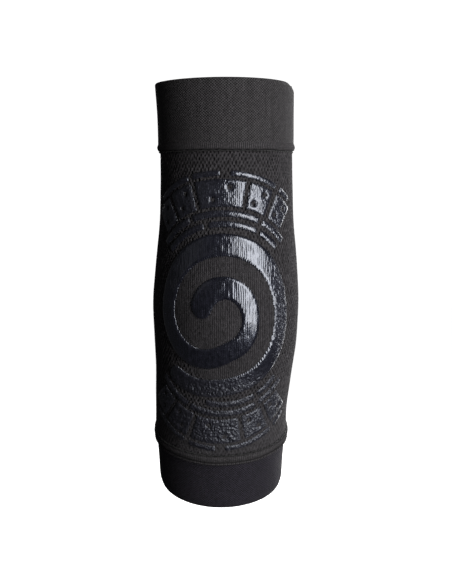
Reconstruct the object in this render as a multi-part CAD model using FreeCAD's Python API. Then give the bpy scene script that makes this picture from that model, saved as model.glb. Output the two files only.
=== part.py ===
"""A knitted elbow pad: a compression sleeve with a silicone guard printed round the point of the elbow.

Millimetres, +Z up. The upper arm runs along +Z and the forearm leans towards +Y, so the point of the
elbow faces -Y. The origin is on the upper cuff's axis, at the middle of its grip band, where the wearer's
arm holds the sleeve.

Places on the sleeve are given as it would lie straight: "along" runs up the arm from the elbow axis, and
"round" runs about the arm from the point of the elbow, towards +X. place() bends them to the resting shape.
"""
import FreeCAD, Part
import math
import os

# Driving dimensions: lengths along the arm, from the elbow axis
UPPER_LENGTH = 136.0        # to the upper rim
LOWER_LENGTH = 124.0        # to the lower rim
UPPER_CUFF_HEIGHT = 38.3
LOWER_CUFF_HEIGHT = 32.5
GRIP_BELOW_RIM = 17.0       # from the upper rim to the middle of its grip band

# Sections: outer radii of the knitted tube
UPPER_RADIUS = 40.6
ELBOW_HALF_WIDTH = 45.0
ELBOW_HALF_DEPTH = 42.0
FOREARM_RADIUS = 41.5
UPPER_SWELL = 65.0          # how far the elbow's swelling reaches up the arm
LOWER_SWELL = 75.0          # and down it
FOREARM_SHIFT = -3.2        # the forearm's sideways offset, towards -X
SHIFT_START = 15.0          # where that offset starts and ends, below the elbow axis
SHIFT_END = 80.0
KNIT_WALL = 1.2

# The bend
REST_FLEXION = 20.0         # degrees between upper arm and forearm at rest
BEND_HALF = 45.0            # the tube bends this far each side of the elbow axis

# Where the elastic knit of the elbow takes over from the tubes, at the back and at the front of the arm
UPPER_BACK_EDGE = 40.0
UPPER_FRONT_EDGE = 86.0
LOWER_BACK_EDGE = 40.0
LOWER_FRONT_EDGE = 80.0
BODY_GAP = 0.4              # between pieces that move apart

# Cuffs: turned welts, each a U-shaped ring with an elastic band inside
CUFF_WALL = 1.0
CUFF_CHANNEL = 1.0
CUFF_THICKNESS = 2 * CUFF_WALL + CUFF_CHANNEL
UPPER_CUFF_PROUD = 1.2      # beyond the tube
LOWER_CUFF_SUNK = 1.0       # within the tube
LOWER_CUFF_TAPER = 1.6
UPPER_CUFF_RADIUS = UPPER_RADIUS + UPPER_CUFF_PROUD
LOWER_CUFF_TOP_RADIUS = FOREARM_RADIUS - LOWER_CUFF_SUNK
LOWER_CUFF_RIM_RADIUS = LOWER_CUFF_TOP_RADIUS - LOWER_CUFF_TAPER
ELASTIC_THICKNESS = 0.7
UPPER_ELASTIC_HEIGHT = 24.0
LOWER_ELASTIC_HEIGHT = 17.0
UPPER_GRIP_PROUD = 0.6      # inside the cuff's wall at its rim
UPPER_GRIP_HEIGHT = 18.0
LOWER_GRIP_PROUD = 0.4
LOWER_GRIP_HEIGHT = 12.0
LOWER_GRIP_ABOVE_RIM = 10.5

# Seams where the cuffs join the tube
UPPER_RIDGE_HEIGHT = 5.4
UPPER_RIDGE_PROUD = 1.9     # beyond the tube
LOWER_RIDGE_HEIGHT = 6.5
LOWER_RIDGE_PROUD = 0.8
THREAD_RADIUS = 0.35
SEAM_GAP = 0.1

# Printed silicone
PRINT_GAP = 0.3             # between the knit and the print
PRINT_THICKNESS = 0.9
PRINT_CENTRE = (-1.5, 0.0)  # round, along
PANEL_RADIUS = 30.0         # the ribbed panel inside the spiral
SPIRAL_WIDTH = 11.0
SPIRAL_START = 154.0        # where the inner end is, in degrees anticlockwise from +X
SPIRAL_TURN = 645.0         # degrees that it turns, clockwise
HOOK_RADIUS = 14.5          # its middle line at the inner end
HOOK_GROWTH = 4.0           # per turn
RING_RADIUS = 37.5          # its middle line once it has swung out
RING_SWING = (225.0, 345.0) # turning angles between which it swings out to the ring
TAIL_RADIUS = 48.0
TAIL_SWING = (590.0, 670.0) # and towards the tail
INNER_ARC = (47.6, 51.2)    # radii from the print's centre
MIDDLE_ARC = (53.8, 57.6)
BLOCK_RING = (59.8, 76.2)
OUTER_ARC = (78.2, 81.4)
VENT_RADIUS = 1.5
# Segments of each ring, as degrees either side of the line up or down the arm, towards +X positive
INNER_ARC_SPANS = ((-46.0, -14.0), (-10.5, 24.0), (27.0, 44.0))
MIDDLE_ARC_SPANS = ((-47.0, -22.5), (-20.0, 23.0), (25.5, 45.0))
BLOCK_SPANS = ((-42.0, -31.0), (-28.5, -16.0), (-13.6, 10.6), (12.8, 25.2), (27.8, 39.0))
OUTER_ARC_SPANS = ((-36.0, -16.5), (-14.0, -1.5), (3.0, 26.0), (28.5, 36.0))
LOWER_INNER_ARCS = 2        # the spiral's tail takes the place of the first

FORWARD = FreeCAD.Vector(0, 1, 0)
ACROSS = FreeCAD.Vector(1, 0, 0)
UP = FreeCAD.Vector(0, 0, 1)
ELBOW = FreeCAD.Vector(0, 0, GRIP_BELOW_RIM - UPPER_LENGTH)    # a point on the elbow axis, which runs along X
REACH = 70.0                # beyond any surface, from the arm's middle


def smooth(t):
    """0 to 1 as t goes from 0 to 1, level at both ends."""
    t = min(1.0, max(0.0, t))
    return t * t * (3 - 2 * t)


def section(along, out=0.0):
    """Half width and half depth of the tube there, grown by out."""
    if along >= 0:
        end_radius, swell = UPPER_RADIUS, smooth(1 - along / UPPER_SWELL)
    else:
        end_radius, swell = FOREARM_RADIUS, smooth(1 + along / LOWER_SWELL)
    width = end_radius + (ELBOW_HALF_WIDTH - end_radius) * swell
    depth = end_radius + (ELBOW_HALF_DEPTH - end_radius) * swell
    return width + out, depth + out


def sideways(along):
    """How far the tube's middle lies towards +X."""
    return FOREARM_SHIFT * smooth((-along - SHIFT_START) / (SHIFT_END - SHIFT_START))


def flexion_at(along):
    """The part of the rest flexion that has been turned by there, in degrees."""
    return REST_FLEXION * smooth((BEND_HALF - along) / (2 * BEND_HALF))


def bend(point, along):
    """A point of the straight sleeve, relative to the elbow axis, carried to the resting shape."""
    turned = FreeCAD.Rotation(ACROSS, flexion_at(along)).multVec(point)
    return ELBOW + turned


def place(round_arm, along, out=0.0):
    """The point of the outer surface at that place, out of it by out."""
    width, depth = section(along)
    angle = round_arm / ((width + depth) / 2)
    straight = FreeCAD.Vector(
        sideways(along) + (width + out) * math.sin(angle), -(depth + out) * math.cos(angle), along
    )
    return bend(straight, along)


def arm_frame(along):
    """The placement of a section of the arm: its middle and its tilt."""
    rotation = FreeCAD.Rotation(ACROSS, flexion_at(along))
    return FreeCAD.Placement(bend(FreeCAD.Vector(sideways(along), 0, along), along), rotation)


def section_wire(along, out):
    """The tube's section there as a closed wire."""
    width, depth = section(along, out)
    if abs(width - depth) < 1e-6:
        curve = Part.Circle(FreeCAD.Vector(0, 0, 0), UP, width)
    else:
        curve = Part.Ellipse(FreeCAD.Vector(0, 0, 0), width, depth)
    edge = curve.toShape()
    edge.Placement = arm_frame(along)
    return Part.Wire(edge)


def tube_core(top, bottom, out):
    """A solid filling the sleeve from top to bottom, its surface out from the tube's by out.
    It is one smooth loft between the straight lengths at both ends."""
    step = 8.0
    high, low = min(top, UPPER_SWELL), max(bottom, -max(LOWER_SWELL, SHIFT_END))
    count = math.ceil((high - low) / step)
    stations = [high + (low - high) * i / count for i in range(count + 1)]
    core = Part.makeLoft([section_wire(a, out) for a in stations], True, False)
    for near, far in ((high, top), (low, bottom)):
        if near != far:
            straight = Part.makeLoft([section_wire(near, out), section_wire(far, out)], True, True)
            core = core.fuse(straight)
    return core


def tube_shell(top, bottom, inner, outer):
    """The wall between two offsets of the tube's surface. The core runs past both ends of the skin."""
    past = 2.0
    return tube_core(top, bottom, outer).cut(tube_core(top + past, bottom - past, inner))


def half_space(frame, back_along, front_along, upper_side):
    """Everything beyond a plane that crosses the arm at back_along behind it and front_along in front."""
    depth = ELBOW_HALF_DEPTH
    big = 6 * REACH
    rise = math.atan2(front_along - back_along, 2 * depth)
    block = Part.makeBox(big, big, big, FreeCAD.Vector(-big / 2, -big / 2, 0 if upper_side else -big))
    middle = FreeCAD.Vector(0, 0, (back_along + front_along) / 2)
    block.Placement = FreeCAD.Placement(middle, FreeCAD.Rotation(ACROSS, math.degrees(rise)))
    block.Placement = frame.multiply(block.Placement)
    return block


def flat_curve(points):
    """A smooth edge in the X-Z plane under points of the surface."""
    curve = Part.BSplineCurve()
    curve.interpolate([FreeCAD.Vector(p.x, 0, p.z) for p in points])
    return curve.toShape()


def stamp(wire, along):
    """A closed wire of the X-Z plane, drawn out over the back of the arm from its middle there."""
    face = Part.Face(wire)
    face.translate(FORWARD * arm_frame(along).Base.y)
    return face.extrude(FORWARD * -REACH)


def polar(radius, degrees):
    """A place given from the print's centre: degrees anticlockwise from straight round the arm."""
    a = math.radians(degrees)
    return PRINT_CENTRE[0] + radius * math.cos(a), PRINT_CENTRE[1] + radius * math.sin(a)


def polar_point(radius, degrees):
    return place(*polar(radius, degrees))


def panel_stamp(radius):
    """A round about the print's centre."""
    points = [polar_point(radius, 15 * i) for i in range(24)]
    curve = Part.BSplineCurve()
    curve.interpolate([FreeCAD.Vector(p.x, 0, p.z) for p in points], PeriodicFlag=True)
    return stamp(Part.Wire(curve.toShape()), PRINT_CENTRE[1])


def sector_stamp(radii, span, side):
    """A segment of a ring round the print's centre. side is 1 above the elbow and -1 below."""
    inner, outer = radii
    first, last = side * (90 - span[1]), side * (90 - span[0])
    steps = max(3, math.ceil(abs(last - first) / 5))
    angles = [first + (last - first) * i / steps for i in range(steps + 1)]
    inner_side = [polar_point(inner, a) for a in angles]
    outer_side = [polar_point(outer, a) for a in reversed(angles)]
    middle = (inner + outer) / 2
    end_last = [inner_side[-1], polar_point(middle, last), outer_side[0]]
    end_first = [outer_side[-1], polar_point(middle, first), inner_side[0]]
    edges = [flat_curve(side) for side in (inner_side, end_last, outer_side, end_first)]
    return stamp(Part.Wire(edges), side * middle)


def vent_punch(round_arm, along):
    """A round pin that stands square on the surface, for cutting a vent."""
    low, high = place(round_arm, along, -1.0), place(round_arm, along, 3.0)
    return Part.makeCylinder(VENT_RADIUS, (high - low).Length, low, high - low)


def spiral_radius(turned):
    """The spiral's middle line: a small hook that swings out to a wide ring, and then to a tail."""
    hook = HOOK_RADIUS + HOOK_GROWTH * turned / 360
    to_ring = smooth((turned - RING_SWING[0]) / (RING_SWING[1] - RING_SWING[0]))
    to_tail = smooth((turned - TAIL_SWING[0]) / (TAIL_SWING[1] - TAIL_SWING[0]))
    return hook + (RING_RADIUS - hook) * to_ring + (TAIL_RADIUS - RING_RADIUS) * to_tail


def spiral_place(turned, aside=0.0):
    """A place on the spiral, aside from its middle line, outwards."""
    step = 0.5
    here = polar(spiral_radius(turned), SPIRAL_START - turned)
    there = polar(spiral_radius(turned + step), SPIRAL_START - turned - step)
    run = math.hypot(there[0] - here[0], there[1] - here[1])
    outward = (-(there[1] - here[1]) / run, (there[0] - here[0]) / run)
    return here[0] + aside * outward[0], here[1] + aside * outward[1]


def spiral_stamp():
    """The spiral's outline: two sides and two round ends."""
    step = 12.0
    half = SPIRAL_WIDTH / 2
    turns = [SPIRAL_TURN * i / round(SPIRAL_TURN / step) for i in range(round(SPIRAL_TURN / step) + 1)]
    outer_side = [place(*spiral_place(t, half)) for t in turns]
    inner_side = [place(*spiral_place(t, -half)) for t in reversed(turns)]

    def round_end(turned, forward):
        """Three points of the half circle that closes an end."""
        here, ahead = spiral_place(turned), spiral_place(turned + 0.5)
        run = math.hypot(ahead[0] - here[0], ahead[1] - here[1])
        along = ((ahead[0] - here[0]) / run * forward, (ahead[1] - here[1]) / run * forward)
        aside = spiral_place(turned, half * forward)
        across = (aside[0] - here[0], aside[1] - here[1])
        corners = []
        for degrees in (0, 36, 72, 108, 144, 180):
            c, s = math.cos(math.radians(degrees)), math.sin(math.radians(degrees))
            corners.append(place(here[0] + across[0] * c + half * along[0] * s,
                                 here[1] + across[1] * c + half * along[1] * s))
        return corners

    far = round_end(SPIRAL_TURN, 1)
    near = round_end(0.0, -1)
    return stamp(Part.Wire([flat_curve(side) for side in (outer_side, far, inner_side, near)]), 0.0)


def print_skin(top, bottom):
    """The layer that printed pieces are cut from."""
    return tube_shell(top, bottom, PRINT_GAP, PRINT_GAP + PRINT_THICKNESS)


def printed_ring(skin, radii, spans, side):
    """The segments of one ring, cut from the skin."""
    return [skin.common(sector_stamp(radii, span, side)) for span in spans]


def vented_blocks(skin, side):
    """The ring of blocks. Each has two round vents, set on a slant."""
    inner, outer = BLOCK_RING
    blocks = []
    for span in BLOCK_SPANS:
        block = skin.common(sector_stamp(BLOCK_RING, span, side))
        for across, up in ((0.32, 0.28), (0.68, 0.72)):
            angle = side * (90 - span[0] - (span[1] - span[0]) * across)
            block = block.cut(vent_punch(*polar(inner + (outer - inner) * up, angle)))
        blocks.append(block)
    return blocks


def ring_solid(profile, frame):
    """A closed profile of (radius, height) points turned about an arm section's axis."""
    points = [FreeCAD.Vector(r, 0, h) for r, h in profile]
    turned = Part.Face(Part.makePolygon(points + points[:1])).revolve(FreeCAD.Vector(0, 0, 0), UP, 360)
    turned.Placement = frame
    return Part.Solid(turned.Shells[0])


def rounded_bead(inner_radius, proud, low, high, frame):
    """A ring whose outside is a low arch from low to high."""
    middle = (low + high) / 2
    shoulder = proud * 0.25
    low_in, high_in = FreeCAD.Vector(inner_radius, 0, low), FreeCAD.Vector(inner_radius, 0, high)
    low_out = FreeCAD.Vector(inner_radius + shoulder, 0, low)
    high_out = FreeCAD.Vector(inner_radius + shoulder, 0, high)
    crown = FreeCAD.Vector(inner_radius + proud, 0, middle)
    edges = [
        Part.LineSegment(high_in, low_in).toShape(),
        Part.LineSegment(low_in, low_out).toShape(),
        Part.Arc(low_out, crown, high_out).toShape(),
        Part.LineSegment(high_out, high_in).toShape(),
    ]
    turned = Part.Face(Part.Wire(edges)).revolve(FreeCAD.Vector(0, 0, 0), UP, 360)
    turned.Placement = frame
    return Part.Solid(turned.Shells[0])


def cuff_pieces(open_radius, rim_radius, height, elastic_height, frame, rim_up):
    """A turned welt, folded over at its rim, and the elastic band in its channel.
    Heights are from the open end, where the two layers are joined to the tube."""
    way = 1 if rim_up else -1

    def at(depth, height_from_open):
        """A point of the profile, depth in from the outer surface."""
        lean = (rim_radius - open_radius) * height_from_open / height
        return open_radius + lean - depth, way * height_from_open

    fold = height - CUFF_WALL
    welt = [
        at(0, 0), at(0, height - CUFF_WALL), at(CUFF_WALL, height), at(CUFF_THICKNESS - CUFF_WALL, height),
        at(CUFF_THICKNESS, height - CUFF_WALL), at(CUFF_THICKNESS, 0), at(CUFF_THICKNESS - CUFF_WALL, 0),
        at(CUFF_THICKNESS - CUFF_WALL, fold), at(CUFF_WALL, fold), at(CUFF_WALL, 0),
    ]
    slack = (CUFF_CHANNEL - ELASTIC_THICKNESS) / 2
    near, far = CUFF_WALL + slack, CUFF_THICKNESS - CUFF_WALL - slack
    top = fold - slack - 1.0
    band = [at(near, top - elastic_height), at(near, top), at(far, top), at(far, top - elastic_height)]
    return ring_solid(welt, frame), ring_solid(band, frame)


def grip_band(backing, radius, height, frame, way):
    """A silicone band on a cuff's inner wall, round and straight inside. backing(h) is the wall's radius."""
    half = height / 2
    profile = [(radius, -half), (radius, half), (backing(half), half), (backing(-half), -half)]
    return ring_solid([(r, way * h) for r, h in profile], frame)


def shifted(frame, distance):
    """The same section frame moved along the arm."""
    return frame.multiply(FreeCAD.Placement(UP * distance, FreeCAD.Rotation()))


def thread_ring(along, inner_radius):
    """A sewing thread lying round the tube."""
    ring = Part.makeTorus(inner_radius + THREAD_RADIUS, THREAD_RADIUS)
    ring.Placement = arm_frame(along)
    return ring


def knitted_tube():
    """The tube's three lengths and the ribbed panel let into the middle one."""
    top = UPPER_LENGTH - UPPER_CUFF_HEIGHT - SEAM_GAP
    bottom = -(LOWER_LENGTH - LOWER_CUFF_HEIGHT - SEAM_GAP)
    wall = tube_shell(top, bottom, -KNIT_WALL, 0.0)
    upper_frame = FreeCAD.Placement(ELBOW, FreeCAD.Rotation())
    lower_frame = FreeCAD.Placement(ELBOW, FreeCAD.Rotation(ACROSS, REST_FLEXION))
    above = half_space(upper_frame, UPPER_BACK_EDGE, UPPER_FRONT_EDGE, True)
    below = half_space(lower_frame, -LOWER_BACK_EDGE, -LOWER_FRONT_EDGE, False)
    below_and_gap = half_space(lower_frame, BODY_GAP - LOWER_BACK_EDGE, BODY_GAP - LOWER_FRONT_EDGE, False)
    elbow = wall.cut(above).cut(below_and_gap)
    return {
        "upper_arm_knit": wall.common(above),
        "elbow_knit": elbow.cut(panel_stamp(PANEL_RADIUS + BODY_GAP)),
        "elbow_panel": elbow.common(panel_stamp(PANEL_RADIUS)),
        "forearm_knit": wall.common(below),
    }


def printed_silicone():
    """The spiral guard and the rings of segments above and below it."""
    skin = print_skin(PRINT_CENTRE[1] + OUTER_ARC[1] + 1, PRINT_CENTRE[1] - OUTER_ARC[1] - 1)
    pieces = {"spiral_guard": [skin.common(spiral_stamp())]}
    inner_spans = {1: INNER_ARC_SPANS, -1: INNER_ARC_SPANS[-LOWER_INNER_ARCS:]}
    for part, side in (("upper", 1), ("lower", -1)):
        pieces[f"{part}_outer_arcs"] = printed_ring(skin, OUTER_ARC, OUTER_ARC_SPANS, side)
        pieces[f"{part}_blocks"] = vented_blocks(skin, side)
        pieces[f"{part}_middle_arcs"] = printed_ring(skin, MIDDLE_ARC, MIDDLE_ARC_SPANS, side)
        pieces[f"{part}_inner_arcs"] = printed_ring(skin, INNER_ARC, inner_spans[side], side)
    return {name: Part.makeCompound(found) for name, found in pieces.items()}


def upper_end():
    """The upper cuff with its elastic and grip, and the seam that joins it to the tube."""
    open_end = UPPER_LENGTH - UPPER_CUFF_HEIGHT
    frame = arm_frame(open_end)
    welt, elastic = cuff_pieces(
        UPPER_CUFF_RADIUS, UPPER_CUFF_RADIUS, UPPER_CUFF_HEIGHT, UPPER_ELASTIC_HEIGHT, frame, True
    )
    inner_wall = UPPER_CUFF_RADIUS - CUFF_THICKNESS
    grip_frame = shifted(frame, UPPER_CUFF_HEIGHT - GRIP_BELOW_RIM)
    grip = grip_band(lambda h: inner_wall, inner_wall - UPPER_GRIP_PROUD, UPPER_GRIP_HEIGHT, grip_frame, 1)
    ridge_top = -SEAM_GAP
    ridge = rounded_bead(
        UPPER_RADIUS + SEAM_GAP / 2, UPPER_RIDGE_PROUD, ridge_top - UPPER_RIDGE_HEIGHT, ridge_top, frame
    )
    thread_along = open_end + ridge_top - UPPER_RIDGE_HEIGHT - THREAD_RADIUS - SEAM_GAP
    return {
        "upper_cuff_welt": welt,
        "upper_cuff_elastic": elastic,
        "upper_grip_band": grip,
        "upper_seam_ridge": ridge,
        "upper_linking_thread": thread_ring(thread_along, UPPER_RADIUS + SEAM_GAP / 2),
    }


def lower_end():
    """The lower cuff, which tapers to its rim, and its seam."""
    open_end = -(LOWER_LENGTH - LOWER_CUFF_HEIGHT)
    frame = arm_frame(open_end)
    welt, elastic = cuff_pieces(
        LOWER_CUFF_TOP_RADIUS, LOWER_CUFF_RIM_RADIUS, LOWER_CUFF_HEIGHT, LOWER_ELASTIC_HEIGHT, frame, False
    )
    from_open = LOWER_CUFF_HEIGHT - LOWER_GRIP_ABOVE_RIM

    def backing(height):
        share = (from_open + height) / LOWER_CUFF_HEIGHT
        return LOWER_CUFF_TOP_RADIUS + (LOWER_CUFF_RIM_RADIUS - LOWER_CUFF_TOP_RADIUS) * share - CUFF_THICKNESS

    grip_radius = LOWER_CUFF_RIM_RADIUS - CUFF_THICKNESS - LOWER_GRIP_PROUD
    grip = grip_band(backing, grip_radius, LOWER_GRIP_HEIGHT, shifted(frame, -from_open), -1)
    ridge_low = SEAM_GAP
    ridge = rounded_bead(
        FOREARM_RADIUS + SEAM_GAP / 2, LOWER_RIDGE_PROUD, ridge_low, ridge_low + LOWER_RIDGE_HEIGHT, frame
    )
    thread_along = open_end + ridge_low + LOWER_RIDGE_HEIGHT + THREAD_RADIUS + SEAM_GAP
    return {
        "lower_cuff_welt": welt,
        "lower_cuff_elastic": elastic,
        "lower_grip_band": grip,
        "lower_seam_ridge": ridge,
        "lower_linking_thread": thread_ring(thread_along, FOREARM_RADIUS + SEAM_GAP / 2),
    }


def main():
    os.makedirs("parts", exist_ok=True)
    nodes = {**upper_end(), **knitted_tube(), **printed_silicone(), **lower_end()}
    for name, shape in nodes.items():
        print(f"{name}: {len(shape.Solids)} solids, {shape.Volume / 1000:.2f} cm3, valid {shape.isValid()}")
        shape.exportStep(f"parts/{name}.step")


main()
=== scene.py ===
"""The looks of the knitted elbow pad: fabric, cuffs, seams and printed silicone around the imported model.

Metres, in the model's frame. A place on the sleeve is an angle about the arm, from the point of the elbow
towards +X, and a place "along" it, up from the elbow axis. The knit has WALES columns of stitches all round,
so a wale number stands for an angle, and the fabric's pattern follows the sleeve wherever it stretches.
"""

import math

import bpy
import numpy as np
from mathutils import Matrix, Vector


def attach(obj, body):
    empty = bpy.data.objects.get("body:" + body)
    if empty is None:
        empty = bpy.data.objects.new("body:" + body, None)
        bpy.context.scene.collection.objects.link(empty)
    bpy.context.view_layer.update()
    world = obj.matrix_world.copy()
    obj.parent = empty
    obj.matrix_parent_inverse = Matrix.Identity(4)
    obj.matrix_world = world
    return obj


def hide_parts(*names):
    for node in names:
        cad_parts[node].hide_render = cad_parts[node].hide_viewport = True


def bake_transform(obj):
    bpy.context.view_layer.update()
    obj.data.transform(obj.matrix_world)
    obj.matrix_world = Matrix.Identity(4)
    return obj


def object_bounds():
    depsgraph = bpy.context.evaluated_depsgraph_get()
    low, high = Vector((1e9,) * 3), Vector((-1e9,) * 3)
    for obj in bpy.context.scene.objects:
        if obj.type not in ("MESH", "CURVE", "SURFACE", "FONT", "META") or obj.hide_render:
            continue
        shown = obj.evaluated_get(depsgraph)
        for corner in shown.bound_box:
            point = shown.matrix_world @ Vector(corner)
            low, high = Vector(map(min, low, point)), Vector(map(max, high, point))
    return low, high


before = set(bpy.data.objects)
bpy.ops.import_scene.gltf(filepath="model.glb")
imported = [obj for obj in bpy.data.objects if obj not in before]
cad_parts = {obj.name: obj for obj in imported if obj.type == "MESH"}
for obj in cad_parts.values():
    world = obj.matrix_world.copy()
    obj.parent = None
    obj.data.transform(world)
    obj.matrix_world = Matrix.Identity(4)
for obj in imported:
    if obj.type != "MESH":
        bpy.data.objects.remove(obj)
cad_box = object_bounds()

# The sleeve's own sizes, as in the model
UPPER_LENGTH, LOWER_LENGTH = 0.136, 0.124
UPPER_CUFF_HEIGHT, LOWER_CUFF_HEIGHT = 0.0383, 0.0325
GRIP_BELOW_RIM = 0.017
UPPER_RADIUS, FOREARM_RADIUS = 0.0406, 0.0415
ELBOW_HALF_WIDTH, ELBOW_HALF_DEPTH = 0.045, 0.042
UPPER_SWELL, LOWER_SWELL = 0.065, 0.075
FOREARM_SHIFT, SHIFT_START, SHIFT_END = -0.0032, 0.015, 0.080
KNIT_WALL = 0.0012
REST_FLEXION = math.radians(20)
BEND_HALF = 0.045
CUFF_WALL, CUFF_CHANNEL = 0.001, 0.001
UPPER_CUFF_RADIUS, LOWER_CUFF_TOP_RADIUS, LOWER_CUFF_RIM_RADIUS = 0.0418, 0.0405, 0.0389
ELASTIC_THICKNESS, UPPER_ELASTIC_HEIGHT, LOWER_ELASTIC_HEIGHT = 0.0007, 0.024, 0.017
UPPER_GRIP_RADIUS, UPPER_GRIP_HEIGHT = 0.0382, 0.018
LOWER_GRIP_RADIUS, LOWER_GRIP_HEIGHT, LOWER_GRIP_ABOVE_RIM = 0.0355, 0.012, 0.0105
UPPER_RIDGE_HEIGHT, UPPER_RIDGE_PROUD = 0.0054, 0.0019
UPPER_ROLL_LAP = 0.0014     # how far the soft upper roll rides up over the cuff
LOWER_ROLL_PROUD = 0.0012   # the soft lower roll, a little prouder than the model's ridge
LOWER_RIDGE_HEIGHT = 0.0065
THREAD_RADIUS, SEAM_GAP = 0.00035, 0.0001
PRINT_X = -0.0015
SPIRAL_WIDTH, SPIRAL_START, SPIRAL_TURN = 0.011, 154.0, 645.0
HOOK_RADIUS, HOOK_GROWTH = 0.0145, 0.004
RING_RADIUS, RING_SWING = 0.0375, (225.0, 345.0)
TAIL_RADIUS, TAIL_SWING = 0.048, (590.0, 670.0)
INNER_ARC, MIDDLE_ARC = (0.0476, 0.0512), (0.0538, 0.0576)
BLOCK_RING, OUTER_ARC = (0.0598, 0.0762), (0.0782, 0.0814)
VENT_RADIUS, VENT_PLACES = 0.0015, ((0.32, 0.28), (0.68, 0.72))
INNER_ARC_SPANS = ((-46.0, -14.0), (-10.5, 24.0), (27.0, 44.0))
MIDDLE_ARC_SPANS = ((-47.0, -22.5), (-20.0, 23.0), (25.5, 45.0))
BLOCK_SPANS = ((-42.0, -31.0), (-28.5, -16.0), (-13.6, 10.6), (12.8, 25.2), (27.8, 39.0))
OUTER_ARC_SPANS = ((-36.0, -16.5), (-14.0, -1.5), (3.0, 26.0), (28.5, 36.0))
LOWER_INNER_ARCS = 2

ELBOW = Vector((0, 0, GRIP_BELOW_RIM - UPPER_LENGTH))
UPPER_SEAM = UPPER_LENGTH - UPPER_CUFF_HEIGHT
LOWER_SEAM = -(LOWER_LENGTH - LOWER_CUFF_HEIGHT)
CUFF_THICKNESS = 2 * CUFF_WALL + CUFF_CHANNEL

# Each end of the sleeve: its name, body, seam, way along the arm, radii at the seam and at the rim, and height
UPPER_END = ("upper", "upper_arm", UPPER_SEAM, 1, (UPPER_CUFF_RADIUS, UPPER_CUFF_RADIUS), UPPER_CUFF_HEIGHT)
LOWER_END = ("lower", "forearm", LOWER_SEAM, -1, (LOWER_CUFF_TOP_RADIUS, LOWER_CUFF_RIM_RADIUS), LOWER_CUFF_HEIGHT)

# The soft shapes
UNEVEN, UPPER_END_UNEVEN, LOWER_END_UNEVEN = 0.0003, 0.0002, 0.00025    # how far soft waves stand out
FULLER_SIDE, FULLER_AT, FULLER_REACH = 0.0007, 0.052, 0.048     # one side above the elbow, and where
UPPER_RIM_FLARE, UPPER_RIM_CURL, LOWER_RIM_CURL = 0.0022, 0.0032, 0.0012
UPPER_RIM_RISE, UPPER_RIM_DIP = 0.0007, 0.0011      # the rim is highest in the middle, lowest at the left
CUFF_STITCH, CUFF_STITCH_AT, CUFF_STITCH_REACH = 0.0002, 0.0036, 0.0009     # in the lower cuff, from its seam
ROLL_RIB, ROLL_RIB_FROM, ROLL_STITCH, ROLL_STITCH_AT = 0.00025, 0.0022, 0.00022, 0.0012     # in the lower roll
ELASTIC_BELOW_FOLD = 0.001
ELASTIC_RIB = 0.0012        # from one rib to the next
GRIP_SUNK = 0.0001          # into the cuff's wall
GRIP_RIB, GRIP_RIB_SPACING, GRIP_WAVE = 0.00025, 0.003, 0.004
THREAD_SWAY = 0.0002

# The knit
WALES = 216
COURSE = 0.00085            # height of one stitch
HOLE_ROW = 0.0021           # between staggered rows of dimples
HOLE_DEPTH = 0.0007
RIB_DEPTH = 0.0003
PANEL_RADIUS = 0.0345       # where the ribbed panel turns into the dimpled mesh
PANEL_FADE = 0.002
SHALLOW_FROM, SHALLOW_REACH, SHALLOW_SHARE = -0.056, 0.014, 0.45    # the dimples near the lower cuff
CUFF_GAP_WALES, CUFF_GAP_ROW = 1.5, 0.0008      # between the gaps in the cuffs' knit

# The meshes: steps of the rows on show, on a cuff's inner face, and where nothing shows
KNIT_ROW, CUFF_ROW, PRINT_ROW = 0.0007, 0.0006, 0.0004
INNER_ROW, HIDDEN_ROW = 0.002, 0.004
FINE_WALES = 60             # over the point of the elbow, with four columns to a wale and not two

# The print
PRINT_THICKNESS = 0.00085
PRINT_SUNK = 0.0002
PRINT_ROUNDING = 0.0020     # how far in from its edge the silicone reaches full height
PRINT_TOOTH = 0.00022       # how far the edge creeps along each rib
PRINT_RAGGED = 0.00012      # and how far it wanders between them
PRINT_EDGE = 0.22           # share of its full height at the very edge
PRINT_WORN = 0.45           # share of its thickness lost where it is crazed
RIB_PRINT = 0.00008         # how far the knit's ribs show through
GRAIN_PRINT = 0.00003       # fine grain all over
SAG_PRINT = 0.00009         # broad hollows where the silicone sank in
CRACKLE = 0.00052           # grain where the print is crazed
GRAIN_ROW, CRACKLE_ROW, SAG_ROW = 0.0007, 0.0013, 0.004     # how long the three are along the arm
KNIT_LEFT = 0.06            # share of the knit's relief left on top of the print
CRAZED_FROM, CRAZED_TO = -0.024, -0.040     # down the forearm it is crazed more and more between these
HOOK_FULLER, HOOK_FULLER_TO = 0.0011, 80.0  # the spiral's hook is broader over its first degrees
RING_FULLER, RING_FULLER_AT, RING_FULLER_REACH = 0.0008, 424.0, 90.0    # and its ring over the top
SPIRAL_REACH, SPIRAL_SIDES = 0.056, 0.060   # room for it on the print as drawn flat
RING_ENDS, RING_MARGIN, RING_SIDES = 0.6, 0.002, 0.058      # the same for a ring, whose ends come lower

# Linear colours of the yarns, and of the silicone from its darker to its lighter places
TUBE_YARN = (0.0470, 0.0436, 0.0474)
UPPER_CUFF_YARN, LOWER_CUFF_YARN = (0.0520, 0.0488, 0.0512), (0.0228, 0.0202, 0.0292)
ROLL_YARN = (0.0560, 0.0522, 0.0556)
SHEEN = (0.75, 0.72, 0.75, 1)
SMOOTH_PRINT = (0.0042, 0.0042, 0.0070, 1), (0.0135, 0.0130, 0.0190, 1)
CRAZED_PRINT = (0.0040, 0.0038, 0.0060, 1), (0.0270, 0.0262, 0.0350, 1)
GRIP_COLOURS = (0.016, 0.016, 0.019, 1), (0.026, 0.026, 0.03, 1)

# The stage
CAMERA_DISTANCE, CAMERA_ELEVATION, CAMERA_AIM = 1.05, math.radians(2.8), 0.007      # aim above the elbow
SENSOR, LENS = 36, 104.4
ROOM, FLOOR_DROP = 5.0, 0.15


# ---------------------------------------------------------------- the sleeve's surface

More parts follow.
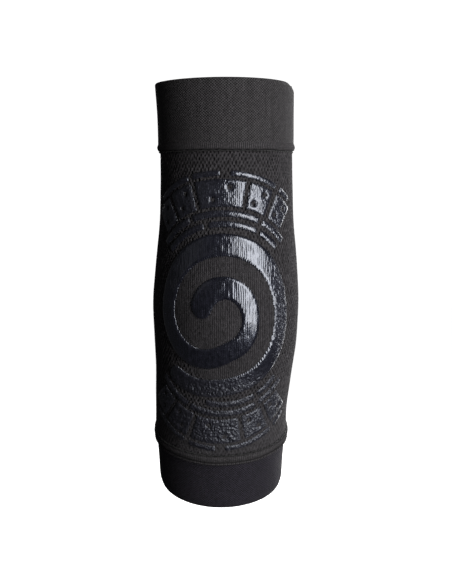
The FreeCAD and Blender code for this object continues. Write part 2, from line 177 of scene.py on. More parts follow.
def smooth(t):
    """0 to 1 as t goes from 0 to 1, level at both ends."""
    t = np.clip(t, 0.0, 1.0)
    return t * t * (3 - 2 * t)


def half_sizes(along):
    """Half width and half depth of the sleeve's section."""
    radius = np.where(along >= 0, UPPER_RADIUS, FOREARM_RADIUS)
    swell = smooth(1 - np.abs(along) / np.where(along >= 0, UPPER_SWELL, LOWER_SWELL))
    return radius + (ELBOW_HALF_WIDTH - radius) * swell, radius + (ELBOW_HALF_DEPTH - radius) * swell


def bent(x, y, along):
    """Points of the straight sleeve carried to its resting bend."""
    x = x + FOREARM_SHIFT * smooth((-along - SHIFT_START) / (SHIFT_END - SHIFT_START))
    tilt = REST_FLEXION * smooth((BEND_HALF - along) / (2 * BEND_HALF))
    c, s = np.cos(tilt), np.sin(tilt)
    return np.stack(np.broadcast_arrays(x, y * c - along * s, ELBOW.z + y * s + along * c), -1)


def on_sleeve(angle, along, out=0.0):
    """Points of the fabric's outer surface, out of it by out."""
    width, depth = half_sizes(along)
    return bent((width + out) * np.sin(angle), -(depth + out) * np.cos(angle), along)


def on_ring(angle, along, radius):
    """Points of a round section."""
    return bent(radius * np.sin(angle), -radius * np.cos(angle), along)


def wale_of(angle):
    return angle * WALES / (2 * math.pi)


def angle_of(wale):
    return wale * 2 * math.pi / WALES


def print_plane(angle, along):
    """Where a place lies on the print as drawn flat, from its centre."""
    width, depth = half_sizes(along)
    return angle * (width + depth) / 2 - PRINT_X, along


RANDOM = np.random.default_rng(5).random((WALES, WALES))


def cloud(x, y, period=WALES):
    """Smooth random values from -1 to 1, one to each unit square, repeating after period squares of x."""
    x, y = np.broadcast_arrays(x, y)
    i, j = np.floor(x).astype(int), np.floor(y).astype(int)
    a, b = smooth(x - i), smooth(y - j)
    low = RANDOM[i % period, j % WALES] * (1 - a) + RANDOM[(i + 1) % period, j % WALES] * a
    high = RANDOM[i % period, (j + 1) % WALES] * (1 - a) + RANDOM[(i + 1) % period, (j + 1) % WALES] * a
    return 2 * (low * (1 - b) + high * b) - 1


def slow_waves(angle, along):
    """The slight unevenness of a soft tube, from -1 to 1."""
    return (
        0.5 * np.sin(3 * angle + 40 * along + 0.7)
        + 0.3 * np.sin(5 * angle - 95 * along + 2.1)
        + 0.2 * np.sin(2 * angle + 210 * along + 4.0)
    )


def unevenness(angle, along):
    """How far the fabric stands out of its even shape: the soft waves, and a fuller side above the elbow."""
    fuller = np.clip(np.sin(angle), 0, 1) ** 2 * smooth(1 - np.abs(along - FULLER_AT) / FULLER_REACH)
    return UNEVEN * slow_waves(angle, along) + FULLER_SIDE * fuller


def knit_depth(angle, along):
    """How deep the fabric's pattern is there, from 0 on top of the yarn to 1, for painted shade, and its relief in
    metres.
    """
    wale = wale_of(angle)
    panel = smooth((PANEL_RADIUS - np.hypot(*print_plane(angle, along))) / PANEL_FADE + 0.5)
    groove = 0.5 - 0.5 * np.cos(2 * math.pi * wale)
    row = along / HOLE_ROW
    # a staggered lattice of dimples, each pulled a little off its place and more or less open
    pulled_across = 0.3 * cloud(wale, row * 2)
    pulled_up = 0.28 * cloud(wale + 40, row * 2 + 70)
    lattice = np.cos(math.pi * (wale + pulled_across)) * np.cos(math.pi * (row + pulled_up))
    openness = 0.78 + 0.14 * cloud(wale, row) + 0.08 * cloud(wale / 6, row / 4, WALES // 6)
    hole = smooth((lattice + 0.12) / 0.75) * openness
    hole = hole * (1 - SHALLOW_SHARE * smooth((SHALLOW_FROM - along) / SHALLOW_REACH))
    # the first is painted shade: most in the dimples, less in the grooves between the ribs
    depth = panel * 0.6 * groove + (1 - panel) * np.maximum(hole, 0.35 * groove)
    relief = -panel * RIB_DEPTH * groove - (1 - panel) * (HOLE_DEPTH * hole + 0.25 * RIB_DEPTH * groove)
    return depth, relief


def crazing(angle, along):
    """How far the print is crazed, from 0 to 1: wholly down the forearm, where a sleeve is pulled most,
    nearly so at the ring's +X side, and a little in the segments above, away from the middle."""
    turned = np.degrees(angle)
    lower = smooth((CRAZED_FROM - along) / (CRAZED_FROM - CRAZED_TO))
    sides = 0.22 + 0.3 * smooth((np.abs(turned - 14) - 14) / 20)
    worn_side = 0.85 * smooth((turned - 34) / 14) * (1 - smooth((along - 0.036) / 0.006))
    return np.maximum(lower, sides * smooth((along - 0.042) / 0.006) + worn_side)


def print_relief(angle, along):
    """How the knit shows through the silicone: low ribs, uneven and broken up along the arm."""
    crazed = crazing(angle, along)
    wale, row = wale_of(angle), along / HOLE_ROW
    rib = np.cos(2 * math.pi * (wale + 0.15 * cloud(wale / 2, row, WALES // 2)))
    strength = 0.5 + 0.5 * cloud(wale / 3 + 9, row * 0.6 + 5)
    grain = cloud(wale * 1.9 + 20, along / GRAIN_ROW)
    broad = cloud(wale * 1.1 + 90, along / CRACKLE_ROW + 31)
    sagged = SAG_PRINT * cloud(wale + 60, along / SAG_ROW)
    even = RIB_PRINT * rib * (0.2 + strength) + sagged + GRAIN_PRINT * grain
    crackle = CRACKLE * (0.35 * broad + 0.65 * grain)
    return even * (1 - 0.5 * crazed) + crackle * crazed


# ---------------------------------------------------------------- meshes

def finish_mesh(name, mesh, material):
    """An object of that mesh, smoothly shaded, with its material."""
    mesh.materials.append(material)
    mesh.shade_smooth()
    piece = bpy.data.objects.new(name, mesh)
    bpy.context.scene.collection.objects.link(piece)
    return piece


def add_depth(mesh, depth):
    """How far each vertex lies in a groove, as painted shade, or how crazed it is, for the materials to read."""
    attribute = mesh.attributes.new("depth", "FLOAT", "POINT")
    attribute.data.foreach_set("value", np.ascontiguousarray(depth, np.float32).ravel())


def ring_mesh(name, points, wale, along, depth):
    """A closed ring from a grid of points. Rows run round its profile, up the outside and down the inside,
    and columns round the arm. wale has one value more than there are columns, for the last one's far side."""
    rows, columns = points.shape[:2]
    i, j = np.mgrid[0:rows, 0:columns]
    next_i, next_j = (i + 1) % rows, (j + 1) % columns
    quads = np.stack([i * columns + j, i * columns + next_j, next_i * columns + next_j, next_i * columns + j], -1)
    mesh = bpy.data.meshes.new(name)
    mesh.from_pydata(points.reshape(-1, 3).tolist(), [], quads.reshape(-1, 4).tolist())
    u = np.stack([wale[j], wale[j + 1], wale[j + 1], wale[j]], -1)
    v = np.stack([along[i], along[i], along[next_i], along[next_i]], -1)
    layer = mesh.uv_layers.new(name="Knit")
    layer.data.foreach_set("uv", np.stack([u, v], -1).astype(np.float32).ravel())
    add_depth(mesh, depth)
    return mesh


def steps(start, end, step):
    """Evenly spaced values from start to end, about step apart."""
    return np.linspace(start, end, max(2, int(round(abs(end - start) / step)) + 1))


def even_wales(per_wale):
    """Wale numbers all round the arm, per_wale of them to a wale."""
    return np.arange(int(WALES * per_wale) + 1) / per_wale - WALES / 2


def sleeve_fabric(material):
    """The knitted tube from cuff to cuff, ribbed in the panel and dimpled round it."""
    side = (WALES - FINE_WALES) / 2
    coarse = np.arange(0, side, 0.5)
    wale = np.concatenate([
        coarse - WALES / 2, np.arange(0, FINE_WALES, 0.25) - FINE_WALES / 2, coarse + FINE_WALES / 2, [WALES / 2],
    ])
    angle = angle_of(wale[:-1])[None, :]
    low, high = LOWER_SEAM + SEAM_GAP, UPPER_SEAM - SEAM_GAP
    outside, inside = steps(low, high, KNIT_ROW), steps(high, low, HIDDEN_ROW)
    along = np.concatenate([outside, inside])
    depth, relief = knit_depth(angle, outside[:, None])
    waves = unevenness(angle, along[:, None])
    out = waves + np.concatenate([relief, np.full((len(inside), angle.size), -KNIT_WALL)])
    points = on_sleeve(angle, along[:, None], out)
    depth = np.concatenate([depth, np.zeros((len(inside), angle.size))])
    mesh = ring_mesh("sleeve_fabric", points, wale, along, depth)
    return finish_mesh("sleeve_fabric", mesh, material)


def arc(centre, radius, start, end, count):
    """Points (radius, height) of an arc, degrees anticlockwise from outwards."""
    turn = np.radians(np.linspace(start, end, count))
    return np.stack([centre[0] + radius * np.cos(turn), centre[1] + radius * np.sin(turn)], -1)


def cuff_wall(radii, height, depth, heights):
    """Points (radius, height) of a leaning cuff's wall, depth inside its outer face."""
    return np.stack([radii[0] + (radii[1] - radii[0]) * heights / height - depth, heights], -1)


def cuff_profile(radii, height):
    """A turned welt's profile as (radius, height from the open end), up the outside, over the fold,
    down the inside and round the channel for the elastic."""
    fold = CUFF_THICKNESS / 2
    rim_middle = (radii[1] - fold, height - fold)
    return np.concatenate([
        cuff_wall(radii, height, 0, steps(0, height - fold, CUFF_ROW)),
        arc(rim_middle, fold, 8, 172, 9),
        cuff_wall(radii, height, CUFF_THICKNESS, steps(height - fold, 0, INNER_ROW)),
        cuff_wall(radii, height, CUFF_THICKNESS - CUFF_WALL, steps(0, height - fold, HIDDEN_ROW)),
        arc(rim_middle, fold - CUFF_WALL, 160, 20, 5),
        cuff_wall(radii, height, CUFF_WALL, steps(height - fold, 0, HIDDEN_ROW)),
    ])


def turned_piece(name, profile, seam, way, per_wale, material, shape=None, depth=None):
    """A profile of (radius, height from the seam) turned about the arm there. way is 1 up the arm, -1 down.
    shape(angle, radius, height) gives what to add to the radius and to the height, and depth is how far
    each place of the profile lies in a groove, painted as shade."""
    wale = even_wales(per_wale)
    angle = angle_of(wale[:-1])[None, :]
    radius, height = profile[:, :1], profile[:, 1:]
    more_out, more_up = shape(angle, radius, height) if shape else (0.0, 0.0)
    radius, height = np.broadcast_arrays(radius + more_out, height + more_up)
    points = on_ring(angle, seam + way * height, radius)
    along = seam + way * profile[:, 1]
    depth = np.broadcast_to(0.0 if depth is None else depth[:, None], points.shape[:2])
    if way < 0:
        points, along, depth = points[::-1], along[::-1], depth[::-1]
    return finish_mesh(name, ring_mesh(name, points, wale, along, depth), material)


def upper_cuff_shape(angle, radius, height):
    """The upper cuff flares at one side of its rim and curls in at the other."""
    share = height / UPPER_CUFF_HEIGHT
    left, right = np.clip(-np.sin(angle), 0, 1) ** 2, np.clip(np.sin(angle), 0, 1) ** 2
    flare = UPPER_RIM_FLARE * left * share ** 1.5
    curl = -UPPER_RIM_CURL * right * smooth((share - 0.8) / 0.2) ** 2
    rise = (UPPER_RIM_RISE - UPPER_RIM_RISE * right - UPPER_RIM_DIP * left) * share
    return flare + curl + UPPER_END_UNEVEN * slow_waves(angle, height), rise


def lower_cuff_shape(angle, radius, height):
    """The lower cuff's rim curls in a little all round, and a row of stitches shows near its seam."""
    share = height / LOWER_CUFF_HEIGHT
    curl = -LOWER_RIM_CURL * smooth((share - 0.75) / 0.25) ** 2
    outside = radius > LOWER_CUFF_RIM_RADIUS - CUFF_WALL / 10
    stitches = smooth(1 - np.abs(height - CUFF_STITCH_AT) / CUFF_STITCH_REACH) * np.cos(math.pi * wale_of(angle))
    return curl + outside * CUFF_STITCH * stitches + LOWER_END_UNEVEN * slow_waves(angle, height + 0.3), 0.0


def roll_profile(inner_radius, places):
    """A roll of fabric from places (height, how proud it stands, how far it lies in a groove, painted as
    shade): the smoothed outside and the flat back, and that painted shade all along."""
    heights, proud, shade = np.transpose(places)
    up = np.linspace(heights[0], heights[-1], 25)
    outside = inner_radius + np.interp(up, heights, proud)
    for _ in range(2):
        outside[1:-1] = (outside[:-2] + 2 * outside[1:-1] + outside[2:]) / 4
    outside = np.stack([outside, up], -1)
    profile = np.concatenate([outside, [[inner_radius, heights[-1]], [inner_radius, heights[0]]]])
    return profile, np.concatenate([np.interp(up, heights, shade), [1, 1]])


def upper_roll_shape(angle, radius, height):
    """The upper seam's roll sags and puckers a little along its free edge."""
    free = smooth(height / UPPER_RIDGE_HEIGHT)
    pucker = 0.00028 * cloud(wale_of(angle) / 3, 3.0, WALES // 3) + 0.0002 * np.sin(7 * angle + 1)
    wales = -0.00012 * (0.5 - 0.5 * np.cos(2 * math.pi * wale_of(angle)))
    return wales + UPPER_END_UNEVEN * slow_waves(angle, 0.1), pucker * free


def lower_roll_shape(angle, radius, height):
    """The lower seam's roll is ribbed, with a row of stitches along its lower edge."""
    wale = wale_of(angle)
    band = smooth((height - ROLL_RIB_FROM) / 0.0006)
    ribs = -ROLL_RIB * (0.5 - 0.5 * np.cos(2 * math.pi * wale)) * band
    stitch = ROLL_STITCH * np.cos(2 * math.pi * wale / 2) * smooth(1 - np.abs(height - ROLL_STITCH_AT) / 0.0008)
    return ribs + stitch + LOWER_END_UNEVEN * slow_waves(angle, 0.2), 0.00012 * np.sin(9 * angle)


def stitched_thread(part, along, inner_radius, body, material):
    """A linking thread: it dives in and out and sways from stitch to stitch, one to every two wales."""
    stitches = WALES // 2
    turn = np.linspace(0, 360, 8, endpoint=False)
    ring = np.stack([
        inner_radius + THREAD_RADIUS * (1 + np.cos(np.radians(turn))),
        THREAD_RADIUS * np.sin(np.radians(turn)),
    ], -1)

    def sway(angle, radius, height):
        return THREAD_SWAY * np.cos(stitches * angle), THREAD_SWAY * np.sin(stitches * angle / 2)

    piece = turned_piece(f"{part}_seam_thread", ring, along, 1, 4, material, sway)
    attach(piece, body)
    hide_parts(f"{part}_linking_thread")


# ---------------------------------------------------------------- printed silicone

def cut_grid(distance):
    """The cells of a grid where distance is negative, cut along its zero line. It gives the vertices as
    (row, column) places, the polygons, and the boundary as pairs of vertices with the outside on the right."""
    inside = distance < 0
    number = np.full(distance.shape, -1)
    number[inside] = np.arange(inside.sum())
    places = np.argwhere(inside).astype(float).tolist()
    whole = inside[:-1, :-1] & inside[:-1, 1:] & inside[1:, 1:] & inside[1:, :-1]
    some = inside[:-1, :-1] | inside[:-1, 1:] | inside[1:, 1:] | inside[1:, :-1]
    i, j = np.nonzero(whole)
    polygons = np.stack([number[i, j], number[i, j + 1], number[i + 1, j + 1], number[i + 1, j]], -1).tolist()
    crossings, boundary = {}, []

    def crossing(a, b):
        key = (min(a, b), max(a, b))
        if key not in crossings:
            crossings[key] = len(places)
            near, far = key
            share = distance[near] / (distance[near] - distance[far])
            places.append([near[0] + share * (far[0] - near[0]), near[1] + share * (far[1] - near[1])])
        return crossings[key]

    for i, j in np.argwhere(some & ~whole).tolist():
        corners = [(i, j), (i, j + 1), (i + 1, j + 1), (i + 1, j)]
        polygon = []
        for a, b in zip(corners, corners[1:] + corners[:1]):
            if inside[a]:
                polygon.append(int(number[a]))
            if inside[a] != inside[b]:
                polygon.append(crossing(a, b))
        cut = [v >= int(inside.sum()) for v in polygon]
        for k in range(len(polygon)):
            after = (k + 1) % len(polygon)
            if cut[k] and cut[after]:
                boundary.append((polygon[k], polygon[after]))
        polygons.append(polygon)
    return np.array(places), polygons, boundary


def printed_piece(name, distance_at, reach, material):
    """A closed layer of silicone on the fabric wherever distance_at(x, along), on the print as drawn flat,
    is negative. reach is its lowest and highest place along, and how far it goes to each side."""
    low, high, sides = reach
    last = math.ceil(wale_of(sides / UPPER_RADIUS)) * 4
    wale = np.arange(-last, last + 1) / 4
    along = steps(low, high, PRINT_ROW)
    angle_grid, along_grid = np.meshgrid(angle_of(wale), along)
    x, y = print_plane(angle_grid, along_grid)
    tooth = PRINT_TOOTH * np.cos(2 * math.pi * wale_of(angle_grid))
    ragged = PRINT_RAGGED * np.sin(2900 * along_grid + 5 * np.sin(1500 * x))
    distance = distance_at(x, y) + tooth + ragged
    tiny = 0.00003      # no grid point lies so near the edge that its cell is cut to a sliver
    distance = np.where(np.abs(distance) < tiny, -tiny, distance)
    places, polygons, boundary = cut_grid(distance)

    def sample(grid):
        i, j = places[:, 0], places[:, 1]
        i0, j0 = np.minimum(i.astype(int), grid.shape[0] - 2), np.minimum(j.astype(int), grid.shape[1] - 2)
        a, b = i - i0, j - j0
        return (
            grid[i0, j0] * (1 - a) * (1 - b) + grid[i0, j0 + 1] * (1 - a) * b
            + grid[i0 + 1, j0] * a * (1 - b) + grid[i0 + 1, j0 + 1] * a * b
        )

    # the silicone rises from its edge, bridges the knit on top and is pressed into it below
    angle, up = sample(angle_grid), sample(along_grid)
    inwards = np.clip(-sample(distance) / PRINT_ROUNDING, 0, 1)
    crown = PRINT_EDGE + (1 - PRINT_EDGE) * (1 - (1 - inwards) ** 2)
    relief = knit_depth(angle, up)[1]
    base = unevenness(angle, up)
    shown = print_relief(angle, up)
    crazed = crazing(angle, up)
    thickness = PRINT_THICKNESS * (1 - PRINT_WORN * crazed)
    raised = thickness * crown + KNIT_LEFT * relief + shown * (0.4 + 0.6 * inwards)
    top = on_sleeve(angle, up, base + raised)
    bottom = on_sleeve(angle, up, base + relief - PRINT_SUNK)
    count = len(places)
    faces = polygons + [[v + count for v in reversed(p)] for p in polygons]
    faces += [[b, a, a + count, b + count] for a, b in boundary]
    mesh = bpy.data.meshes.new(name)
    mesh.from_pydata(np.concatenate([top, bottom]).tolist(), [], faces)
    corner = np.zeros(len(mesh.loops), int)
    mesh.loops.foreach_get("vertex_index", corner)
    layer = mesh.uv_layers.new(name="Knit")
    uv = np.tile(np.stack([wale_of(angle), up], -1), (2, 1))[corner]
    layer.data.foreach_set("uv", uv.astype(np.float32).ravel())
    add_depth(mesh, np.tile(crazed, 2))
    piece = finish_mesh(name, mesh, material)
    mesh.set_sharp_from_angle(angle=math.radians(60))
    return piece


def spiral_radius(turned):
    """The spiral's middle line: a small hook that swings out to a wide ring, and then to a tail."""
    hook = HOOK_RADIUS + HOOK_GROWTH * turned / 360
    to_ring = smooth((turned - RING_SWING[0]) / (RING_SWING[1] - RING_SWING[0]))
    to_tail = smooth((turned - TAIL_SWING[0]) / (TAIL_SWING[1] - TAIL_SWING[0]))
    return hook + (RING_RADIUS - hook) * to_ring + (TAIL_RADIUS - RING_RADIUS) * to_tail


def spiral_distance(x, y):
    """Distance from the spiral's edge, negative inside."""
    turned = np.linspace(0, SPIRAL_TURN, 700)
    direction = np.radians(SPIRAL_START - turned)
    line = spiral_radius(turned)[:, None] * np.stack([np.cos(direction), np.sin(direction)], -1)
    fuller = HOOK_FULLER * smooth(1 - turned / HOOK_FULLER_TO)
    fuller += RING_FULLER * smooth(1 - np.abs(turned - RING_FULLER_AT) / RING_FULLER_REACH)
    nearest = np.full(x.shape, 1.0)
    for (px, py), half in zip(line, SPIRAL_WIDTH / 2 + fuller):
        np.minimum(nearest, np.hypot(x - px, y - py) - half, out=nearest)
    return nearest


def segment_distance(x, y, radii, span, side):
    """Distance from the edge of a segment of a ring, its corners rounded."""
    corner = 0.0008
    radius = np.hypot(x, y)
    turned = np.arctan2(x, side * y)
    first, last = math.radians(span[0]), math.radians(span[1])
    across = np.abs(radius - (radii[0] + radii[1]) / 2) - (radii[1] - radii[0]) / 2 + corner
    round_it = (np.abs(turned - (first + last) / 2) - (last - first) / 2) * radius + corner
    outer = np.hypot(np.maximum(across, 0), np.maximum(round_it, 0))
    return outer + np.minimum(np.maximum(across, round_it), 0) - corner


def segments(radii, spans, side, vented=False):
    """The distance function of a ring of segments, with vents if it has them."""
    def distance(x, y):
        nearest = np.full(x.shape, 1.0)
        for span in spans:
            shape = segment_distance(x, y, radii, span, side)
            for across, up in VENT_PLACES if vented else ():
                turned = math.radians(span[0] + (span[1] - span[0]) * across)
                radius = radii[0] + (radii[1] - radii[0]) * up
                vent = np.hypot(x - radius * math.sin(turned), y - side * radius * math.cos(turned))
                shape = np.maximum(shape, VENT_RADIUS - vent)
            nearest = np.minimum(nearest, shape)
        return nearest
    return distance


# ---------------------------------------------------------------- materials

class Graph:
    """A material's nodes, written shortly."""

    def __init__(self, name):
        self.material = bpy.data.materials.new(name)
        self.material.use_nodes = True
        self.nodes, self.links = self.material.node_tree.nodes, self.material.node_tree.links
        self.shader = self.nodes["Principled BSDF"]

    def put(self, socket, value):
        if isinstance(value, bpy.types.NodeSocket):
            self.links.new(value, socket)
        else:
            socket.default_value = value

    def node(self, kind, inputs=(), **settings):
        node = self.nodes.new("ShaderNode" + kind)
        for key, value in settings.items():
            setattr(node, key, value)
        for key, value in dict(inputs).items():
            self.put(node.inputs[key], value)
        return node

    def math(self, operation, *values):
        node = self.node("Math", operation=operation)
        for socket, value in zip(node.inputs, values):
            self.put(socket, value)
        return node.outputs[0]

    def scaled(self, value, low, high, to_low, to_high):
        """value carried from low..high to to_low..to_high, and held there."""
        inputs = {"Value": value, "From Min": low, "From Max": high, "To Min": to_low, "To Max": to_high}
        return self.node("MapRange", inputs).outputs[0]

    def mix(self, share, a, b):
        """Colour a, turning into b as share goes from 0 to 1."""
        node = self.node("Mix", data_type="RGBA")
        self.put(node.inputs[0], share)
        self.put(node.inputs[6], a)
        self.put(node.inputs[7], b)
        return node.outputs[2]

    def lit(self, colour, light):
        """A colour made lighter or darker by a factor."""
        return self.node("VectorMath", {0: colour, "Scale": light}, operation="SCALE").outputs[0]

    def knit_uv(self):
        """The wale number and the place along, in metres."""
        split = self.node("SeparateXYZ", {"Vector": self.node("UVMap", uv_map="Knit").outputs[0]})
        return split.outputs[0], split.outputs[1]

    def depth(self):
        """How far the place lies in a groove, as painted shade, or how crazed it is."""
        return self.node("Attribute", attribute_name="depth").outputs["Fac"]

    def noise(self, scale, detail=2.0, stretch=(1, 1, 1)):
        """Noise in the object's own frame, with scale in cells to the metre."""
        place = self.node("TexCoord").outputs["Object"]
        mapped = self.node("Mapping", {"Vector": place, "Scale": stretch}).outputs[0]
        return self.node("TexNoise", {"Vector": mapped, "Scale": scale, "Detail": detail}).outputs[0]

    def bump(self, height, distance, under=None):
        """Fine relief, distance metres deep, on top of the relief under."""
        node = self.node("Bump", {"Height": height, "Distance": distance, "Strength": 1.0})
        if under is not None:
            self.put(node.inputs["Normal"], under)
        return node.outputs[0]

    def set(self, **values):
        """The shader's sockets by name, with _ for a space."""
        for key, value in values.items():
            self.put(self.shader.inputs[key.replace("_", " ")], value)


def grey(value):
    return (value, value, value, 1)


def loops(g, wale, along):
    """Height of the yarn in a plain knit: each wale a column of V-shaped stitches."""
    across = g.math("ABSOLUTE", g.math("SUBTRACT", g.math("FRACT", wale), 0.5))
    lean = g.math("MULTIPLY", across, 1.3)
    row = g.math("FRACT", g.math("ADD", g.math("DIVIDE", along, COURSE), lean))
    leg = g.math("SINE", g.math("MULTIPLY", row, math.pi))
    column = g.math("SINE", g.math("MULTIPLY", g.math("FRACT", g.math("MULTIPLY", wale, 2)), math.pi))
    return g.math("MULTIPLY", leg, g.math("SQRT", column))


def tube_knit():
    """Charcoal elastic knit: its own relief is in the mesh, and the yarn, its speckle and the painted shade in the
    dimples, grooves and between the loops are here.
    """
    g = Graph("charcoal_mesh_knit")
    wale, along = g.knit_uv()
    yarn = loops(g, wale, along)
    fleck = g.scaled(g.noise(1000, 3, (1, 1, 0.4)), 0.3, 0.7, 0.45, 1.55)
    patch = g.scaled(g.noise(45, 2), 0.3, 0.7, 0.9, 1.1)
    # painted shade: darker between the loops of yarn, and nearly black in the dimples and between the ribs, which
    # also lose their sheen and reflection
    painted_shade_share = g.math("POWER", g.depth(), 1.1)
    light = g.math("MULTIPLY", g.math("MULTIPLY", fleck, patch), g.scaled(yarn, 0, 1, 0.6, 1.15))
    colour = g.mix(g.math("MULTIPLY", painted_shade_share, 0.97), g.lit(TUBE_YARN, light), grey(0.0008))
    solid = g.scaled(g.depth(), 0, 0.8, 1, 0)
    g.set(Base_Color=colour, Roughness=0.85, Specular_IOR_Level=g.math("MULTIPLY", solid, 0.3))
    g.set(Sheen_Weight=g.math("MULTIPLY", solid, 0.1), Sheen_Roughness=0.5, Sheen_Tint=SHEEN)
    height = g.math("ADD", yarn, g.math("MULTIPLY", g.noise(2600, 2), 0.4))
    g.set(Normal=g.bump(height, 0.00014))
    return g.material


def cuff_knit(name, colour):
    """The cuffs' denser knit: small gaps in a lattice with painted shade in them, which read as a twill both ways.
    """
    g = Graph(name)
    wale, along = g.knit_uv()
    across = g.math("COSINE", g.math("MULTIPLY", wale, 2 * math.pi / CUFF_GAP_WALES))
    up = g.math("COSINE", g.math("MULTIPLY", along, math.pi / CUFF_GAP_ROW))
    gap = g.scaled(g.math("MULTIPLY", across, up), -0.25, 0.55, 0, 1)
    uneven = g.scaled(g.noise(500, 2), 0.35, 0.65, 0.7, 1.0)
    column = g.scaled(g.noise(420, 1, (1, 1, 0.02)), 0.3, 0.7, 0.86, 1.14)
    fleck = g.scaled(g.noise(1300, 3, (1, 1, 0.5)), 0.3, 0.7, 0.6, 1.4)
    yarn = g.lit(colour, g.math("MULTIPLY", column, fleck))
    # painted shade: the gaps are darkened nearly to black, more or less from place to place
    dark = g.math("MULTIPLY", g.math("MULTIPLY", gap, uneven), 0.97)
    g.set(Base_Color=g.mix(dark, yarn, grey(0.0007)), Roughness=0.88, Specular_IOR_Level=0.2)
    g.set(Sheen_Weight=0.05, Sheen_Roughness=0.5, Sheen_Tint=SHEEN)
    height = g.math("SUBTRACT", g.math("MULTIPLY", g.noise(2600, 2), 0.3), gap)
    g.set(Normal=g.bump(height, 0.0003))
    return g.material


def ribbed_knit():
    """The seams' rolled edges: one rib to each wale, with painted shade in the grooves between the ribs and along
    the roll's edges.
    """
    g = Graph("charcoal_roll_knit")
    wale = g.knit_uv()[0]
    # painted shade: dark in the grooves between the ribs and, from the profile, along the roll's edges
    groove = g.scaled(g.math("COSINE", g.math("MULTIPLY", wale, 2 * math.pi)), 0.6, -0.8, 0, 0.8)
    yarn = g.lit(ROLL_YARN, g.scaled(g.noise(1100, 3), 0.3, 0.7, 0.55, 1.45))
    dark = g.math("MAXIMUM", groove, g.math("MULTIPLY", g.depth(), 0.95))
    g.set(Base_Color=g.mix(dark, yarn, grey(0.001)), Roughness=0.88, Specular_IOR_Level=0.2)
    g.set(Normal=g.bump(g.noise(2400, 2), 0.0001))
    return g.material


def print_silicone():
    """Glossy blue-black silicone, a little uneven where it has sunk into the knit and duller where crazed."""
    g = Graph("black_print_silicone")
    crazed = g.depth()
    colour = g.mix(g.scaled(g.noise(700, 3, (1, 1, 0.35)), 0.35, 0.65, 0, 1), *SMOOTH_PRINT)
    worn = g.mix(g.scaled(g.noise(900, 3), 0.35, 0.65, 0, 1), *CRAZED_PRINT)
    rough = g.scaled(g.noise(600, 3), 0.3, 0.7, 0.18, 0.34)
    rough = g.math("ADD", rough, g.math("MULTIPLY", crazed, 0.14))
    g.set(Base_Color=g.mix(crazed, colour, worn), Roughness=rough)
    g.set(Specular_IOR_Level=0.8, Specular_Tint=(0.86, 0.90, 1.0, 1))
    g.set(Coat_Weight=g.scaled(crazed, 0, 1, 1.0, 0.15), Coat_Roughness=0.11, Coat_Tint=(0.90, 0.93, 1.0, 1))
    grit = g.math("MULTIPLY", g.noise(1300, 2), g.scaled(crazed, 0, 1, 1, 8))
    g.set(Normal=g.bump(g.noise(420, 2, (1, 1, 0.5)), 0.0001, g.bump(grit, 0.00005)))
    return g.material


def grip_silicone():
    """The cuffs' inner bands: clear-coated dark silicone with a raised wave."""
    g = Graph("dark_grip_silicone")
    wale, along = g.knit_uv()
    rise = g.math("MULTIPLY", along, 2 * math.pi / GRIP_WAVE)
    wave = g.math("SINE", g.math("ADD", rise, g.math("MULTIPLY", wale, 1.2)))
    colour = g.mix(g.noise(200, 2), *GRIP_COLOURS)
    g.set(Base_Color=colour, Roughness=g.scaled(g.noise(500, 2), 0.3, 0.7, 0.3, 0.5))
    g.set(Normal=g.bump(wave, GRIP_RIB))
    return g.material


def woven_elastic():
    """Covered elastic: close ribs round the arm, crossed by fine weft, with shade painted darker in their hollows.
    """
    g = Graph("black_elastic_braid")
    wale, along = g.knit_uv()
    rib = g.math("SINE", g.math("MULTIPLY", along, 2 * math.pi / ELASTIC_RIB))
    weft = g.math("SINE", g.math("MULTIPLY", wale, 2 * math.pi))
    height = g.math("ADD", rib, g.math("MULTIPLY", weft, 0.4))
    # painted shade: darker where the ribs and weft are low
    colour = g.mix(g.scaled(height, -1, 1, 0, 1), grey(0.006), grey(0.02))
    g.set(Base_Color=colour, Roughness=0.8, Normal=g.bump(height, 0.0002))
    return g.material


def sewing_thread():
    """Twisted polyester thread, with shade painted darker in the grooves of its twist."""
    g = Graph("dark_thread")
    wale, along = g.knit_uv()
    twist = g.math("SINE", g.math("ADD", g.math("MULTIPLY", wale, 18), g.math("MULTIPLY", along, 9000)))
    # painted shade: darker in the twist's grooves
    colour = g.mix(g.scaled(twist, -1, 1, 0, 1), grey(0.004), grey(0.008))
    g.set(Base_Color=colour, Roughness=0.6, Sheen_Weight=0.1, Normal=g.bump(twist, 0.00008))
    return g.material


# ---------------------------------------------------------------- the pieces

def follow_bend(piece):
    """The piece's placement baked into its mesh, in the model's frame; no bend is set up here."""
    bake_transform(piece)


def make_sleeve():
    fabric = sleeve_fabric(tube_knit())
    follow_bend(fabric)
    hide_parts("upper_arm_knit", "elbow_knit", "elbow_panel", "forearm_knit")


def make_cuff(end, shape, material):
    part, body, seam, way, radii, height = end
    cuff = turned_piece(f"{part}_cuff", cuff_profile(radii, height), seam, way, 2, material, shape)
    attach(cuff, body)
    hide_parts(f"{part}_cuff_welt")


def make_elastic(end, band_height, material):
    """The band lies in the cuff's channel, just below its fold."""
    part, body, seam, way, radii, height = end
    top = height - CUFF_THICKNESS / 2 - ELASTIC_BELOW_FOLD
    bottom = top - band_height
    near = CUFF_WALL + (CUFF_CHANNEL - ELASTIC_THICKNESS) / 2
    profile = np.concatenate([
        cuff_wall(radii, height, near, steps(bottom, top, CUFF_ROW)),
        cuff_wall(radii, height, near + ELASTIC_THICKNESS, steps(top, bottom, HIDDEN_ROW)),
    ])
    band = turned_piece(f"{part}_elastic", profile, seam, way, 1, material)
    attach(band, body)
    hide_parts(f"{part}_cuff_elastic")


